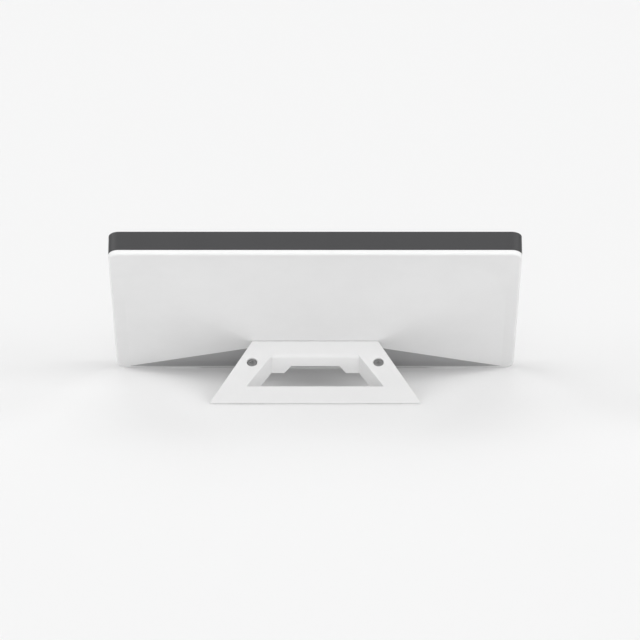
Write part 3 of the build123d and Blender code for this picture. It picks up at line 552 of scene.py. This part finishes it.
turns = np.linspace(0, pi / 2, 9)
parting = 0.25
lip_top = 3.0
rim_path = [(rim_fillet * (1 - sin(t)), rim_back + rim_fillet * (1 - cos(t))) for t in turns]
rim_path += [(0.0, -parting), (parting, 0.0), (lip_inset, 0.0)]
rim_path += [(lip_inset, lip_top), (inner_inset, lip_top)]
edge_u, edge_v, edge_normal = border(outer_u), border(outer_v), border(outer_normal)
rim_loops = [
    head_points(edge_u + edge_normal[:, 0] * (rim_fillet - inset),
                edge_v + edge_normal[:, 1] * (rim_fillet - inset), w)
    for inset, w in rim_path
]
rim_loops.append(border(inner))
hole_rows, hole_columns = np.ix_(in_hole_v, in_hole_u)
hole_loops = np.stack([border(side[hole_rows, hole_columns]) for side in (outer, inner)])
rear_shell = sealed(
    "rear_shell_moulding",
    [
        (outer.reshape(-1, 3), grid_quads(*outer_u.shape, solid)),
        (inner.reshape(-1, 3), grid_quads(*inner_u.shape, solid)),
        tube(np.stack(rim_loops)),
        tube(hole_loops),
    ],
    "display_head", white_plastic, smooth=30,
)
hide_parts("rear_shell")

# %% [markdown]
# The slope that faces the floor is shown a shade greyer than the rest: painted
# shade, a darker copy of the white that stands in for the deep shade there. That
# may be a second finish or only deep shade, and one view can't tell which. It could
# be cut off as a part, but it is one moulding, so its faces are picked by the way
# they face and given a second material.

# %% Painted shade on the underside
shell_mesh = rear_shell.data
shell_mesh.materials.append(painted_shade_grey)
faces = len(shell_mesh.polygons)
centres, normals = np.empty(faces * 3), np.empty(faces * 3)
shell_mesh.polygons.foreach_get("center", centres)
shell_mesh.polygons.foreach_get("normal", normals)
height = (centres.reshape(-1, 3) - head_origin) @ up_screen / mm
down, behind = -normals.reshape(-1, 3) @ up_screen, -normals.reshape(-1, 3) @ out_of_screen
least_down, least_behind = 0.12, 0.9
# The faces that face the floor get the grey of painted shade.
underside = (down > least_down) & (behind > least_behind)
underside &= (height > bulge_bottom) & (height < neck_bottom)
shell_mesh.polygons.foreach_set("material_index", underside.astype(np.int32))
print("underside faces:", underside.sum())

# %% [markdown]
# Most other outside pieces already have the right shape, but their edges are razor
# sharp, and nothing moulded is. Rebuilding them by hand would risk their fit. A
# merged copy with a bevel keeps every face where the model has it and gives the
# light an edge to catch.

# %% Softened copies of model pieces
record = frame["record"]
bodies = record["behaviour"]["bodies"]
body_of = {node: body for body, held in bodies.items() for node in held}


def softened(name, width, material, steps=3, sharpest=25):
    """Copies a node's mesh, merges its flat faces and rounds its edges by width millimetres."""
    mesh = nodes[name].data.copy()
    shape = bmesh.new()
    shape.from_mesh(mesh)
    bmesh.ops.remove_doubles(shape, verts=shape.verts, dist=1e-6)
    flat = radians(0.5)
    bmesh.ops.dissolve_limit(shape, angle_limit=flat, verts=shape.verts, edges=shape.edges)
    shape.to_mesh(mesh)
    shape.free()
    piece = show(name + "_softened", mesh, body_of[name], material, smooth=50)
    bevel = piece.modifiers.new("edges", "BEVEL")
    bevel.width = width * mm
    bevel.segments = steps
    bevel.limit_method = "ANGLE"
    bevel.angle_limit = radians(sharpest)
    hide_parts(name)


softened("mid_frame", 0.25, dark_plastic)
# The stand and its cover take the darker white of painted shade.
softened("stand_frame", 0.35, stand_white_painted_shade)
# The port panel takes the same grey of painted shade.
softened("port_panel", 0.15, painted_shade_grey)
softened("stand_cover", 0.3, stand_white_painted_shade)
softened("power_button", 0.2, dark_plastic)
softened("stand_screws", 0.12, screw_zinc)
for side in ("left", "right"):
    softened("head_foot_" + side, 0.4, rubber)
    softened("stand_pad_" + side, 0.15, rubber)

# %% [markdown]
# The pieces inside, the glass and the screws have the right shape already. A copy
# of each would only double the work, so they keep their own mesh and only get a
# finish. A name is looked up first by itself and then by the family it starts with.

# %% Finishes of the pieces that keep their model mesh
finishes = {
    "cover_glass": screen_glass,
    "touch_sensor": black_glass,
    "lcd_cell": black_glass,
    "glass_gasket": foam,
    "backlight_unit": aluminium,
    "chassis_plate": aluminium,
    "heat_sink": aluminium,
    "soc_shield": tin,
    "rtc_cell": tin,
    "mainboard": board_green,
    "io_board": board_green,
    "button_board": board_green,
    "board_chips": black_plastic,
    "tact_switch": black_plastic,
    "switch_plunger": white_plastic,
    "button_spacers": brass,
}
families = {
    "speaker": black_plastic,
    "antenna": board_green,
    "usb_port": tin,
    "friction_washers": brass,
    "hinge": steel,
    "chassis_screws": screw_zinc,
    "board_screws": screw_zinc,
    "bracket_screws": screw_zinc,
    "panel_screws": screw_zinc,
    "io_board_screws": screw_zinc,
}
kept = 0
for name, node in nodes.items():
    family = next((key for key in families if name.startswith(key)), None)
    finish = finishes.get(name) or families.get(family)
    if finish:
        node.data.materials.clear()
        node.data.materials.append(finish)
        kept += 1
print("kept pieces:", kept)
